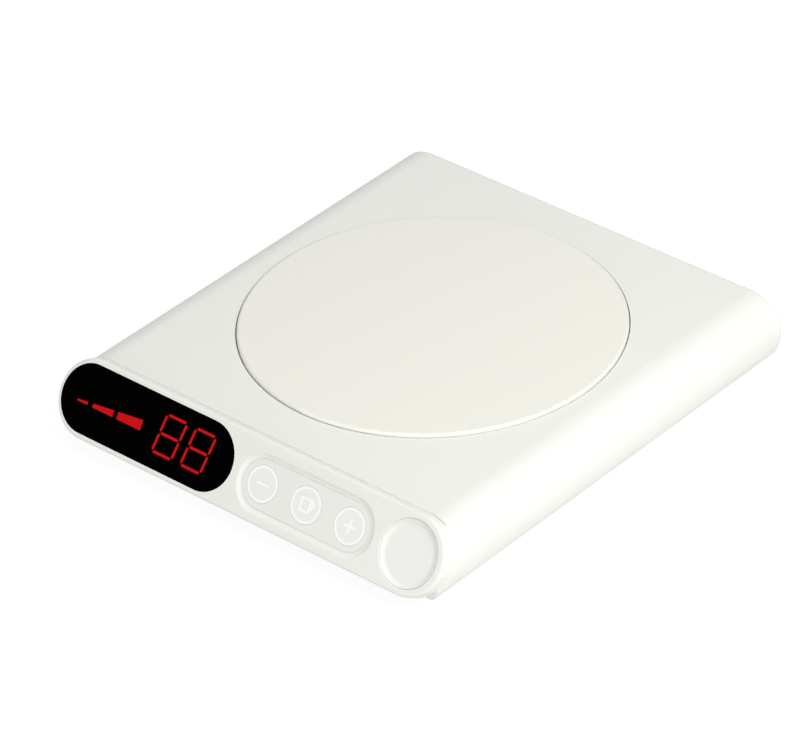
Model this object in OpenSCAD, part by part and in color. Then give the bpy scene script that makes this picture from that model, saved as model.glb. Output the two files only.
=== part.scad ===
// Electric mug warmer: a flat moulded housing with full-round sides, a round heating plate let
// into its top, and a slanted front panel with a display window, three keys and a power button.
// Lengths are in millimetres. X runs across the front, Y from the front to the back, Z up.
// The origin lies on the table, under the middle of the housing's outline.

/* [Housing] */
// Width across the full-round sides
body_w = 115.1; // [108:0.1:130]
// Depth from the front panel's foremost point to the back wall
body_d = 125.6; // [118:0.1:140]
// Height from the underside to the flat top
body_h = 17.9; // [17:0.1:21]
// Wall of the moulded top cover
wall = 2.4; // [1.8:0.1:2.8]
// Rounding of the edge around the back wall
back_round = 1.4; // [0.5:0.1:2]
// Radius of the chin under the front panel
chin_r = 4.5; // [4:0.1:4.8]
// Radius between the chin and the slanted seat of the panel
brow_r = 2; // [1.6:0.1:2.2]
// Width of the shadow gap between the panel and the housing's top
seam_w = 0.4; // [0.2:0.05:0.5]
// Depth of that shadow gap along the panel's back
seam_d = 1; // [0.6:0.1:1.2]
// Rounding of the top's edge at the shadow gap
seam_round = 0.6; // [0.2:0.1:0.8]

/* [Front panel] */
// How far the panel leans back from upright, in degrees
face_tilt = 33; // [27:1:36]
// Height of the panel along its face
panel_h = 19; // [18:0.1:20.5]
// Thickness of the panel
panel_t = 3; // [2.6:0.1:3.4]
// Height of the panel's lower edge above the underside
panel_lift = 3.7; // [3:0.1:4.2]
// Rounding of the panel's front rim
panel_round = 0.7; // [0.3:0.1:1]
// Rim of the panel outside the frame that it plugs into
plug_inset = 2.5; // [2.2:0.1:2.8]
// Depth of the plug skirt behind the panel
skirt_depth = 2.6; // [1.5:0.1:3]
// Wall of the plug skirt
skirt_t = 1.1; // [0.8:0.1:1.3]
// Clearance of the skirt in the housing
skirt_gap = 0.15; // [0.05:0.05:0.3]
// Rounding where the wall of the recess meets the face
lip = 0.8; // [0.4:0.1:1]
// Hollow rounding between the walls of the recess and the dish and their floors
cove = 2; // [1.2:0.1:2.4]

/* [Display] */
// Distance between the display window and the key recess
window_to_keys = 1.8; // [1.4:0.1:3]
// Height of the display window
window_h = 16.5; // [15.6:0.1:17]
// Thickness of the display window
window_t = 1.6; // [1.2:0.1:1.8]
// Rim of the panel at the window's left end
window_rim = 0.95; // [0.7:0.05:1.8]
// Clearance round the window in its pocket
window_gap = 0.04; // [0.02:0.01:0.1]
// Height of a digit between its top and bottom strokes
digit_h = 9.1; // [7:0.1:9.2]
// Width of a digit between its side strokes
digit_w = 6; // [4.5:0.1:6.2]
// Distance between the two digits
digit_pitch = 8.8; // [8.2:0.05:9.2]
// Width of a stroke
stroke = 0.64; // [0.5:0.02:0.9]
// Gap between the ends of two strokes
stroke_gap = 0.26; // [0.2:0.02:0.5]
// Lean of the digits, in degrees
digit_lean = 7; // [0:1:9]
// Distance from the window's right end to the middle of the digits
digits_in = 14.8; // [13.8:0.1:15.5]
// Height of the digits' middle above the middle of the panel
digits_rise = 0.15; // [0:0.05:0.2]
// Distance from the window's left end to the level bars
bars_in = 5.1; // [5:0.1:6]
// Distance between the level bars and the first digit
bars_to_digits = 5.5; // [4.5:0.1:8]
// Height of the level bars at the low end
bar_low = 0.4; // [0.3:0.05:0.6]
// Height of the level bars at the high end
bar_high = 2.5; // [2:0.1:3.5]
// Drop of the bars' foot below the middle of the panel
bars_drop = 1.45; // [1:0.05:2.5]
// Length of the light guides behind the window's face
guide_len = 3.4; // [2.2:0.1:4]
// Clearance round a light guide
guide_fit = 0.03; // [0.02:0.01:0.06]

/* [Keys] */
// Width of the key recess at the panel's face
recess_w = 40.2; // [39.6:0.2:41]
// Height of the key recess at the panel's face
recess_h = 14.4; // [14:0.2:15]
// Depth from the panel's face to the keys
recess_depth = 0.4; // [0.3:0.05:0.6]
// Distance from the panel's right end to the middle of the keys
keys_in = 39.8; // [39.4:0.1:40.2]
// Distance of the keys below the middle of the panel
keys_drop = 0.3; // [0:0.1:0.4]
// Thickness of the key insert in the recess
insert_t = 0.5; // [0.4:0.1:0.8]
// Clearance round the key insert
insert_gap = 0.05; // [0.02:0.01:0.1]
// Distance between two keys
key_pitch = 12.9; // [12:0.05:13]
// Diameter of a key cap
key_d = 8.6; // [7.6:0.1:9]
// Travel of a key
key_travel = 0.4; // [0.2:0.05:0.5]
// Running clearance round a key cap or the power button
key_gap = 0.05; // [0.05:0.01:0.15]
// Width of the flange that keeps a key cap in the panel
key_flange = 0.7; // [0.5:0.1:0.9]
// Thickness of that flange
key_flange_t = 0.7; // [0.5:0.1:0.8]
// Diameter of the ring on a key
mark_d = 8.4; // [7:0.1:8.5]
// Width of a mark's lines
mark_w = 0.62; // [0.3:0.02:0.8]
// Depth of a mark in its key
mark_t = 0.3; // [0.2:0.05:0.5]
// Length of the bars of the minus and plus marks
sign_l = 3.6; // [2.4:0.1:4.4]
// Height of the cup mark, between the middles of its lines
cup_h = 2.8; // [2:0.1:3.2]
// Width of the cup mark's rim, between the middles of its lines
cup_w = 2.75; // [2:0.05:3]
// Clearance of a mark in its key
mark_gap = 0.01; // [0.01:0.01:0.04]
// Diameter of the power button's recess
power_d = 15.6; // [15:0.1:16]
// Distance from the panel's right end to the middle of the power button
power_in = 9.8; // [9.5:0.1:10]
// Depth of the power button's rim below the panel's face
power_sink = 0.1; // [0.05:0.05:0.2]
// Rounded mouth of the power button's recess
power_lip = 0.25; // [0.1:0.05:0.3]
// Travel of the power button
power_travel = 0.5; // [0.3:0.05:0.55]
// Thickness of the power button at its rim
power_t = 1.3; // [1.2:0.05:1.4]
// Depth of the dish in the power button
dish_depth = 0.5; // [0.4:0.05:0.75]
// Flat rim around the dish
dish_rim = 0.1; // [0.05:0.05:0.3]
// Diameter of the power button's hub
hub_d = 5; // [4:0.1:5.4]

/* [Control board] */
// Depth from the panel's face to the front of the control board
board_depth = 6.6; // [6.4:0.1:7]
// Height of the control board along the face
board_h = 10.8; // [10:0.1:11.4]
// Thickness of both circuit boards
board_t = 1.2; // [1:0.1:1.6]
// Height of a push switch above the board
switch_h = 1.6; // [1.4:0.1:1.7]
// Width of a key's push switch
switch_w = 4.5; // [4:0.1:5]
// Width of the power button's push switch
power_switch_w = 6; // [5:0.1:6.5]
// Diameter of a push switch's plunger
plunger_d = 2; // [1.6:0.1:2.6]
// Length of a plunger above its switch
plunger_out = 0.6; // [0.56:0.02:0.7]
// Length of a plunger inside its switch
plunger_in = 0.7; // [0.5:0.1:0.8]
// Running clearance round a plunger
plunger_gap = 0.06; // [0.04:0.01:0.1]

/* [Heating plate] */
// Diameter of the heating plate
plate_d = 90; // [80:0.5:92]
// Thickness of the heating plate
plate_t = 2.2; // [1.8:0.1:2.6]
// Height of the plate above the housing's top
plate_proud = 0.8; // [0.4:0.1:1.2]
// Rounding of the plate's upper edge
plate_round = 0.7; // [0.3:0.1:1]
// Gap between the plate and the cover
plate_gap = 0.3; // [0.2:0.05:0.5]
// Distance of the plate's centre behind the middle of the housing
plate_back = 6.1; // [5:0.1:7]
// Width of the ledge under the plate
ledge_w = 4; // [3:0.1:4.5]
// Thickness of that ledge
ledge_t = 1.5; // [1.2:0.1:1.8]
// Wall of the collar round the ledge
collar_t = 1.8; // [1.4:0.1:2]
// Thickness of the seal between plate and ledge
seal_t = 0.5; // [0.3:0.1:0.8]
// Thickness of the aluminium heat spreader
spreader_t = 1.2; // [1:0.1:1.5]
// Thickness of the heating element's carrier
heater_t = 0.25; // [0.2:0.05:0.4]
// Height of the element's tracks on the carrier
track_t = 0.15; // [0.1:0.05:0.3]
// Width of a track
track_w = 1.6; // [1.2:0.1:2.4]
// Distance from one track to the next
track_pitch = 3.6; // [3:0.1:4]
// Thickness of the insulation pad
pad_t = 1.6; // [1.2:0.1:2]
// Thickness of the clamp plate
clamp_t = 0.8; // [0.6:0.1:1]
// Width of the clamp plate's ears
ear_w = 8; // [7:0.5:9]
// Diameter of the clamp screws' posts
clamp_post_d = 5; // [4.4:0.1:5.6]

/* [Base] */
// Thickness of the base cover
base_t = 1.4; // [1.2:0.1:1.6]
// Clearance round the base cover
base_gap = 0.2; // [0.1:0.05:0.3]
// Flat border of the underside outside the base cover
base_edge = 1; // [0.6:0.1:3]
// Width of the ledge that the base cover rests on
base_seat = 2.5; // [2:0.1:3]
// Corner radius of the base cover
base_corner = 4; // [3:0.5:6]
// Distance from the chin and from the back wall to the base cover
base_in = 3.6; // [3:0.1:5]
// Diameter of a rubber foot
foot_d = 10; // [7:0.5:12]
// Height of a foot below the underside
foot_proud = 1.5; // [1:0.1:3]
// Depth of a foot's recess in the base cover
foot_seat = 0.7; // [0.4:0.1:0.8]
// Clearance round a foot
foot_gap = 0.1; // [0.05:0.05:0.2]
// Distance from the base cover's sides to a foot's centre
foot_in_x = 14; // [12:0.5:18]
// Distance from the base cover's front and back to a foot's centre
foot_in_y = 13; // [11:0.5:20]
// Number of vent slots
vent_n = 7; // [3:1:9]
// Width of a vent slot
vent_w = 1.6; // [1:0.1:2.2]
// Length of a vent slot
vent_l = 24; // [12:1:30]
// Distance between two vent slots
vent_pitch = 4.2; // [3.4:0.1:5]

/* [Screws] */
// Thread diameter of the housing screws
screw_d = 2.6; // [2.2:0.1:3]
// Head diameter of the housing screws
screw_head_d = 4.8; // [4.4:0.1:5.2]
// Head height of the housing screws
screw_head_h = 1.5; // [1.2:0.1:1.6]
// Length of a housing screw's shank
screw_len = 9; // [7:0.5:10]
// Thread diameter of the small screws
small_screw_d = 2; // [1.6:0.1:2.2]
// Head diameter of the small screws
small_head_d = 3.6; // [3:0.1:4]
// Head height of the small screws
small_head_h = 1; // [0.8:0.1:1.4]
// Shank length of the small screws
small_screw_len = 4; // [3:0.1:4.4]
// Clearance between a shank and its bore
screw_fit = 0.1; // [0.04:0.02:0.16]
// Diameter of the housing screws' bosses
boss_d = 7; // [6.4:0.1:7.4]

/* [Main board] */
// Width of the main board
main_w = 64; // [56:1:68]
// Depth of the main board
main_d = 30; // [27:0.5:32]
// Height of the main board above the base cover
main_lift = 2.6; // [2:0.1:3]
// Width of the power inlet's shell
inlet_w = 8.94; // [8.9:0.01:9]
// Height of the power inlet's shell
inlet_h = 3.2; // [3.1:0.02:3.3]
// Length of the power inlet's shell
inlet_l = 7.3; // [6.5:0.1:8]
// Sheet thickness of the inlet's shell
inlet_t = 0.3; // [0.2:0.05:0.35]
// Depth of the inlet's mouth behind the back wall's face
inlet_in = 0.6; // [0.3:0.1:1]
// Clearance of the inlet in the back wall
inlet_gap = 0.25; // [0.1:0.05:0.4]
// Height of the smoothing capacitors
cap_h = 5; // [4:0.1:5.4]
// Diameter of the smoothing capacitors
cap_d = 6.3; // [5:0.1:7]
// Diameter of the power coil
coil_d = 9; // [7:0.5:10]
// Height of the power coil
coil_h = 4.6; // [4:0.1:5]
// Diameter of the thermal fuse
fuse_d = 4; // [3:0.1:4.4]
// Length of the thermal fuse
fuse_l = 11; // [8:0.5:14]
// Diameter of the temperature sensor
sensor_d = 4; // [3:0.1:6]
// Diameter of the heater leads
lead_d = 1.4; // [1:0.1:1.8]
// Width of the ribbon cable
ribbon_w = 8; // [5:0.5:10]
// Thickness of the ribbon cable
ribbon_t = 0.4; // [0.3:0.1:0.6]

/* [Hidden] */
$fn = 64;
e = 0.01; // overshoot of a cut
up_s = sin(face_tilt); // direction up the panel's face, as its Y part
up_c = cos(face_tilt); // and its Z part

// Housing levels and places
z_under = foot_proud;
z_top = z_under + body_h;
z_mid = z_under + body_h / 2;
z_roof = z_top - wall;
y_back = body_d / 2;
y_face = -body_d / 2 - panel_round * (up_s + up_c - 1);
z_face = z_under + panel_lift;
side_hl = (body_w - body_h) / 2;

// The slanted front of the housing, at the back of the panel, and the two rounds of the chin below it
y_front = y_face + panel_t / up_c;
chin_z = z_under + chin_r;
brow_y = y_front + ((chin_z - z_face) * up_s + brow_r) / up_c;
chin_y = brow_y - brow_r + chin_r;
chin_wall = 1.7; // from the chin's foremost line to the room behind it
room_y = brow_y - brow_r + chin_wall;

// The shadow gap between the panel and the housing's top
seam_s = (z_top - z_face + panel_t * up_s) / up_c - seam_d;
seam_y = y_front + ((z_top - z_face) * up_s + seam_w) / up_c;
seam_run = seam_round * tan((90 - face_tilt) / 2); // from the edge to where its rounding begins

// Panel
panel_hl = (body_w - panel_h) / 2;
mid_s = panel_h / 2;
plug_r = mid_s - plug_inset;
skirt_r = plug_r - skirt_gap;
frame_t = wall;
plug_on = 0.1; // how far the panel's opening runs on into that room
plug_depth = (room_y - y_face - plug_inset * up_s) / up_c + plug_on;

// Display
window_w = body_w - window_rim - window_to_keys - recess_w / 2 - keys_in;
window_hl = (window_w - window_h) / 2;
window_x = -body_w / 2 + window_rim + window_w / 2;
shade_gap = 0.3; // between the light shade and the plug skirt
shade_r = skirt_r - skirt_t - shade_gap;
shade_hl = window_hl - 2 * shade_gap;
digits_x = window_x + window_w / 2 - digits_in;
bars_x = window_x - window_w / 2 + bars_in;
bars_w = digits_x - digit_pitch / 2 - digit_w / 2 - bars_to_digits - bars_x;
bar_cuts = [[0, 0.16], [0.24, 0.56], [0.625, 1]]; // start and end of each bar, as shares of bars_w
led_w = 0.9;
led_h = 0.5; // above the board

// Keys
keys_x = body_w / 2 - keys_in;
power_x = body_w / 2 - power_in;
recess_hl = (recess_w - recess_h) / 2;
recess_r = recess_h / 2 - soft_run(recess_depth, lip, cove); // of the recess's floor
insert_depth = recess_depth + insert_t;
flange_r = key_d / 2 + key_flange;
cup_left = 0.15; // from the ring's middle to the cup's, to leave room for the handle
cup_taper = 0.12; // how far each side of the cup draws in towards its foot
handle_r = 0.85;
switch_top = board_depth - switch_h;
plunger_top = switch_top - plunger_out;
power_r = power_d / 2 - key_gap;
power_back = power_sink + power_t; // depth of the power button's back
dish_r = power_r - dish_rim - soft_run(dish_depth, power_lip, cove); // of the dish's floor
web_depth = power_back + power_travel; // floor of the power button's recess
leg_r = hub_d / 2 + 1.5; // inner face of a leg, from the button's middle
leg_t = 0.9;
leg_w = 2;
leg_gap = 0.15;
hook = 0.45; // how far a hook stands out of its leg
hook_t = 0.6;
bore_floor = 0.2; // room under a plunger that is pressed all the way

// Control board
post_d = 3.4;
post_from_key = 8.1; // from the outer keys' middles to the posts
control_hl = panel_hl - board_t;

// Heating stack, from the plate down
z_plate_top = z_top + plate_proud;
z_plate = z_plate_top - plate_t;
z_seat = z_plate - seal_t;
z_spreader = z_plate - spreader_t;
z_heater = z_spreader - track_t - heater_t;
z_pad = z_heater - pad_t;
z_clamp = z_pad - clamp_t;
seat_in_d = plate_d - 2 * ledge_w;
collar_d = plate_d + 2 * plate_gap + 2 * collar_t;
stack_gap = 2; // from the ledge to the spreader, and from its edge to the element
stack_d = seat_in_d - 2 * stack_gap;
heater_d = stack_d - 2 * stack_gap;
post_gap = 0.7; // between the collar and the clamp screws' posts
clamp_r = collar_d / 2 + clamp_post_d / 2 + post_gap;
sensor_gap = 0.2;
lead_gap = 0.3;
lead_x = 6;
lead_back = 28; // from the plate's centre to the leads
lead_y = plate_back + lead_back;

// Base
base_w = body_w - body_h - 2 * base_edge;
base_y0 = chin_y + base_in;
base_y1 = y_back - wall - base_in;
z_base = z_under + base_t;
z_floor = z_under + wall;
edge_gap = 0.5; // from the base cover's opening and the back wall to what stands beside them
screw_x = base_w / 2 - base_seat - boss_d / 2 - edge_gap;
screw_in_front = 9.6;
screw_in_back = 6.9;
screw_y0 = base_y0 + screw_in_front;
screw_y1 = base_y1 - screw_in_back;
screw_seat = screw_head_h + 0.3; // depth of a screw head's seat
seat_floor = 1.2; // material above that seat
z_boss = z_under + screw_seat + seat_floor;
foot_x = base_w / 2 - foot_in_x;
foot_y0 = base_y0 + foot_in_y;
foot_y1 = base_y1 - foot_in_y;
rib_t = 1;
rib_h = 2.2;

// Main board
z_main = z_base + main_lift;
z_main_top = z_main + board_t;
main_y1 = y_back - wall - edge_gap;
main_y0 = main_y1 - main_d;
standoff_d = 4.6;
standoff_in = 3.2; // from the board's sides and front to a stand-off
standoff_y1 = base_y1 - base_seat - standoff_d / 2 - edge_gap;
inlet_y1 = y_back - inlet_in;
z_inlet = z_main_top + inlet_h / 2;
clip_t = 0.5;
z_fuse = z_clamp - fuse_d / 2;
fuse_x = 18;
socket_gap = 1.5; // between a stand-off and the ribbon's socket
socket_side = 1; // wall of a socket beside the ribbon
ribbon_x = main_w / 2 - standoff_in - standoff_d / 2 - socket_gap - socket_side - ribbon_w / 2;
ribbon_gap = 0.1; // beside the ribbon in a socket
bend_l = 2; // length of the ribbon's short runs
socket_h = 2.4;
socket_l = 4;
socket_in = 1; // from the main board's front edge to its socket
socket_up = 2.6; // from the control board's lower edge to its socket
cap_gap = 2;
part_in = 16; // from the main board's sides to the middle of the coil and between the capacitors
cap_x = main_w / 2 - part_in - cap_d / 2 - cap_gap / 2;
coil_x = part_in - main_w / 2;
cap_round = 0.5;
chip_w = 6;
chip_h = 1.2;
tongue_w = 6.7;
tongue_h = 0.7;
tongue_in = 1; // from the inlet's mouth to its tongue

cream = [0.93, 0.93, 0.89];
plate_white = [0.92, 0.92, 0.87];
black = [0.03, 0.03, 0.04];
red = [0.9, 0.1, 0.08];
rubber = [0.2, 0.2, 0.2];
steel = [0.7, 0.71, 0.73];
board_green = [0.1, 0.35, 0.2];

// Places children on the panel's face: X across, Y up the face, Z outwards, sunk by depth
module on_face(depth = 0) {
    translate([0, y_face, z_face]) rotate([90 - face_tilt, 0, 0]) translate([0, 0, -depth]) children();
}

// Places children on the panel's middle line, x from the middle
module on_line(x, depth = 0) {
    on_face(depth) translate([x, mid_s, 0]) children();
}

// Places children on the keys' line, x from the middle one
module on_keys(x, depth = 0) {
    on_line(keys_x + x, depth) translate([0, -keys_drop, 0]) children();
}

// Flat outline with round ends
module pill(hl, r) {
    translate([-hl, -r]) square([2 * hl, 2 * r]);
    for (side = [-1, 1]) translate([side * hl, 0]) circle(r);
}

// Rectangle with round corners, from its corner at x0, y0
module round_rect(x0, y0, w, d, r) {
    translate([x0 + r, y0]) square([w - 2 * r, d]);
    translate([x0, y0 + r]) square([w, d - 2 * r]);
    for (x = [x0 + r, x0 + w - r], y = [y0 + r, y0 + d - r]) translate([x, y]) circle(r);
}

// Half section of a bar: radius along X, length along Y, with its far edge rounded by q
module bar_section(r, len, q) {
    square([r - q, len]);
    square([r, len - q]);
    if (q > 0) translate([r - q, len - q]) circle(q);
}

// Half section of a hole whose mouth, at Y = len, flares outwards with radius q
module flare_section(r, len, q) {
    square([r, len + e]);
    difference() {
        translate([r - e, len - q]) square([q + e, q + e]);
        translate([r + q, len - q]) circle(q);
    }
}

// Width of a soft wall that is d high, with rounding p at its top and hollow rounding q at its foot
function soft_run(d, p, q) = sqrt(2 * (p + q) * d - d * d);

// Half section of a hollow whose soft wall rises from its floor, at radius r, to the face at Y = d
module soft_section(r, d, p, q) {
    run = soft_run(d, p, q);
    meet = run * q / (p + q);
    meet_h = d * q / (p + q);
    translate([0, -e]) square([r, d + 2 * e]);
    intersection() {
        translate([r, q]) circle(q);
        translate([r - e, 0]) square([meet + e, meet_h]);
    }
    difference() {
        translate([r - e, meet_h]) square([run + e, d + e - meet_h]);
        translate([r + run, d - p]) circle(p);
    }
}

// Solid along Z with a pill outline, whose half section is the child
module pill_sweep(hl) {
    for (turn = [-90, 90]) rotate([0, 0, turn]) translate([0, hl, 0]) rotate_extrude(angle = 180) children();
    translate([-hl, 0, 0]) rotate([90, 0, 90]) linear_extrude(2 * hl)
        for (m = [0, 1]) mirror([m, 0]) children();
}

// The whole outside of the housing, cut back to the panel's rear and rounded below it
module body_shape() {
    intersection() {
        translate([0, -body_d / 2, z_mid]) rotate([-90, 0, 0]) pill_sweep(side_hl)
            bar_section(body_h / 2, body_d, back_round);
        translate([-body_w, 0, 0]) rotate([90, 0, 90]) linear_extrude(2 * body_w) {
            polygon([
                [chin_y, z_under - body_h], [y_back + body_h, z_under - body_h],
                [y_back + body_h, z_top + body_h],
                [y_front + (z_top + body_h - z_face) * up_s / up_c, z_top + body_h],
                [brow_y - brow_r * up_c, chin_z + brow_r * up_s],
                [brow_y, chin_z], [chin_y, chin_z]]);
            translate([brow_y, chin_z]) circle(brow_r);
            intersection() {
                translate([chin_y, chin_z]) circle(chin_r);
                translate([chin_y - chin_r, z_under - e]) square([chin_r + e, chin_r + e]);
            }
        }
    }
}

// The room inside the housing, behind the front frame and the chin
module cavity() {
    difference() {
        translate([0, room_y, z_mid]) rotate([-90, 0, 0]) pill_sweep(side_hl)
            bar_section(body_h / 2 - wall, y_back - wall - room_y, 0);
        on_face(panel_t + frame_t) translate([-body_w, -body_w, 0]) cube([2 * body_w, 2 * body_w, body_w]);
    }
    on_line(0, plug_depth) linear_extrude(plug_depth) pill(panel_hl, plug_r);
}

// The shadow gap along the panel's upper edge, and what the rounding of the top's edge takes away
module seam() {
    on_face(panel_t + seam_w) translate([-body_w, seam_s, 0]) cube([2 * body_w, body_h, seam_w + e]);
    translate([-body_w, 0, 0]) rotate([90, 0, 90]) linear_extrude(2 * body_w) difference() {
        polygon([
            [seam_y + seam_run, z_top - seam_round], [seam_y + seam_run, z_top + seam_round],
            [seam_y - seam_round, z_top + seam_round],
            [seam_y - seam_run * up_s - seam_round * up_c, z_top - seam_run * up_c + seam_round * up_s]]);
        translate([seam_y + seam_run, z_top - seam_round]) circle(seam_round);
    }
}

module at_housing_screws() {
    for (x = [-screw_x, screw_x], y = [screw_y0, screw_y1]) translate([x, y, 0]) children();
}

module at_clamp_screws() {
    for (a = [45:90:315]) translate([0, plate_back, 0]) rotate([0, 0, a]) translate([clamp_r, 0, 0])
        children();
}

module at_board_screws() {
    for (side = [-1, 1], y = [main_y0 + standoff_in, standoff_y1])
        translate([side * (main_w / 2 - standoff_in), y, 0]) children();
}

module at_posts() {
    for (side = [-1, 1]) on_line(keys_x + side * (key_pitch + post_from_key), board_depth) children();
}

// Screw with its shank upwards and its head below Z = 0, with a cross recess in the head
module screw(d, len, head_d, head_h) {
    cross_l = head_d * 0.55;
    cross_w = head_d * 0.15;
    difference() {
        union() {
            mirror([0, 0, 1]) rotate_extrude() bar_section(head_d / 2, head_h, head_h / 4);
            cylinder(d = d, h = len);
        }
        for (turn = [0, 90]) rotate([0, 0, turn]) translate([-cross_l / 2, -cross_w / 2, -head_h - e])
            cube([cross_l, cross_w, head_h / 2]);
    }
}

module top_cover() {
    color(cream) difference() {
        union() {
            difference() {
                body_shape();
                cavity();
                seam();
                translate([0, 0, z_under - e]) linear_extrude(base_t + e)
                    round_rect(-base_w / 2, base_y0, base_w, base_y1 - base_y0, base_corner);
                translate([0, 0, z_under - e]) linear_extrude(wall + 2 * e)
                    round_rect(-base_w / 2 + base_seat, base_y0 + base_seat, base_w - 2 * base_seat,
                        base_y1 - base_y0 - 2 * base_seat, base_corner);
            }
            translate([0, plate_back, z_seat - ledge_t])
                cylinder(d = collar_d, h = z_roof + wall / 2 - z_seat + ledge_t);
            at_housing_screws() translate([0, 0, z_boss])
                cylinder(d = boss_d, h = z_roof + wall / 2 - z_boss);
            at_clamp_screws() translate([0, 0, z_pad])
                cylinder(d = clamp_post_d, h = z_roof + wall / 2 - z_pad);
        }
        translate([0, plate_back, z_seat]) cylinder(d = plate_d + 2 * plate_gap, h = body_h);
        translate([0, plate_back, z_seat - body_h / 2]) cylinder(d = seat_in_d, h = body_h);
        at_housing_screws() translate([0, 0, z_boss - e]) cylinder(d = screw_d + screw_fit, h = screw_len);
        at_clamp_screws() translate([0, 0, z_pad - e])
            cylinder(d = small_screw_d + screw_fit, h = small_screw_len);
        translate([0, y_back + e, z_inlet]) rotate([90, 0, 0]) linear_extrude(wall + 2 * e)
            pill((inlet_w - inlet_h) / 2, inlet_h / 2 + inlet_gap);
    }
}

module base_cover() {
    w = base_w - 2 * base_gap;
    d = base_y1 - base_y0 - 2 * base_gap;
    rib_in = base_seat + base_gap;
    color(cream) difference() {
        union() {
            translate([0, 0, z_under]) linear_extrude(base_t)
                round_rect(-w / 2, base_y0 + base_gap, w, d, base_corner - base_gap);
            translate([0, 0, z_under]) linear_extrude(rib_h) difference() {
                round_rect(-w / 2 + rib_in, base_y0 + base_gap + rib_in,
                    w - 2 * rib_in, d - 2 * rib_in, base_corner);
                round_rect(-w / 2 + rib_in + rib_t, base_y0 + base_gap + rib_in + rib_t,
                    w - 2 * rib_in - 2 * rib_t, d - 2 * rib_in - 2 * rib_t, base_corner - rib_t);
            }
            at_housing_screws() translate([0, 0, z_under]) cylinder(d = boss_d, h = z_boss - z_under);
            at_board_screws() translate([0, 0, z_under + base_t / 2])
                cylinder(d = standoff_d, h = z_main - z_under - base_t / 2);
        }
        at_housing_screws() translate([0, 0, z_under - e])
            cylinder(d = screw_head_d + 2 * foot_gap, h = screw_seat + e);
        at_housing_screws() translate([0, 0, z_under]) cylinder(d = screw_d + screw_fit, h = body_h / 2);
        at_board_screws() translate([0, 0, z_base - base_t / 2])
            cylinder(d = small_screw_d + screw_fit, h = body_h / 2);
        for (x = [-foot_x, foot_x], y = [foot_y0, foot_y1]) translate([x, y, z_under - e])
            cylinder(d = foot_d + 2 * foot_gap, h = foot_seat + e);
        for (i = [0:vent_n - 1]) translate([0, plate_back + (i - (vent_n - 1) / 2) * vent_pitch, z_under - e])
            linear_extrude(base_t + 2 * e) pill((vent_l - vent_w) / 2, vent_w / 2);
    }
}

module housing_screws() {
    color(steel) at_housing_screws() translate([0, 0, z_under + screw_seat])
        screw(screw_d, screw_len, screw_head_d, screw_head_h);
}

// Rubber foot glued into its seat, with a rounded lower edge
module foot(x, y) {
    color(rubber) translate([x, y, z_under + foot_seat]) mirror([0, 0, 1]) rotate_extrude()
        bar_section(foot_d / 2, foot_proud + foot_seat, foot_proud / 3);
}

// Panel that closes the housing's slanted front, with a plug skirt behind it
module front_bezel() {
    color(cream) difference() {
        union() {
            on_line(0, panel_t) pill_sweep(panel_hl) bar_section(mid_s, panel_t, panel_round);
            on_line(0, panel_t + skirt_depth) linear_extrude(skirt_depth + panel_t / 4) difference() {
                pill(panel_hl, skirt_r);
                pill(panel_hl, skirt_r - skirt_t);
            }
            at_posts() cylinder(d = post_d, h = board_depth - panel_t / 2);
        }
        on_line(window_x, window_t) linear_extrude(window_t + e) pill(window_hl, window_h / 2);
        on_line(window_x, panel_t + e) linear_extrude(panel_t) pill(shade_hl, shade_r + guide_fit);
        on_keys(0, recess_depth) pill_sweep(recess_hl) soft_section(recess_r, recess_depth, lip, cove);
        on_keys(0, insert_depth) linear_extrude(insert_t) pill(recess_hl, recess_r);
        for (i = [-1, 0, 1]) on_keys(i * key_pitch, panel_t + e)
            cylinder(d = key_d + 2 * key_gap, h = panel_t);
        on_line(power_x, web_depth) rotate_extrude() flare_section(power_d / 2, web_depth, power_lip);
        on_line(power_x, panel_t + e) cylinder(d = hub_d + 2 * key_gap, h = panel_t);
        for (side = [-1, 1]) on_line(power_x + side * (leg_r + leg_t / 2), panel_t + e)
            translate([-leg_t / 2 - leg_gap, -leg_w / 2 - leg_gap, 0])
                cube([leg_t + 2 * leg_gap, leg_w + 2 * leg_gap, panel_t]);
        at_posts() translate([0, 0, -e]) cylinder(d = small_screw_d + screw_fit, h = small_screw_len);
    }
}

// Outline of the whole wedge that the level bars are cut from
function wedge_top(t) = -bars_drop + bar_low + t * (bar_high - bar_low);

// The three level bars, grown by fit all round
module bar_outlines(fit) {
    for (cut = bar_cuts) polygon([
        [bars_x + cut[0] * bars_w - fit, -bars_drop - fit],
        [bars_x + cut[1] * bars_w + fit, -bars_drop - fit],
        [bars_x + cut[1] * bars_w + fit, wedge_top(cut[1]) + fit],
        [bars_x + cut[0] * bars_w - fit, wedge_top(cut[0]) + fit]]);
}

// Moves a point of a digit sideways with its height
function lean(p) = [p[0] + p[1] * tan(digit_lean), p[1]];

// Outline of one stroke with pointed ends, along X or, when upright, along Y
function stroke_points(c, len, upright, fit) =
    let (a = len / 2 - stroke_gap + fit, b = stroke / 2 + fit,
        flat = [[-a, 0], [-a + b, b], [a - b, b], [a, 0], [a - b, -b], [-a + b, -b]])
    [for (p = flat) lean(upright ? [c[0] + p[1], c[1] + p[0]] : [c[0] + p[0], c[1] + p[1]])];

// One seven-stroke digit, grown by fit all round
module digit_outline(fit) {
    for (row = [-1, 0, 1]) polygon(stroke_points([0, row * digit_h / 2], digit_w, false, fit));
    for (side = [-1, 1], row = [-1, 1])
        polygon(stroke_points([side * digit_w / 2, row * digit_h / 4], digit_h / 2, true, fit));
}

module digit_outlines(fit) {
    for (side = [-1, 1]) translate([digits_x + side * digit_pitch / 2, digits_rise]) digit_outline(fit);
}

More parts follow.
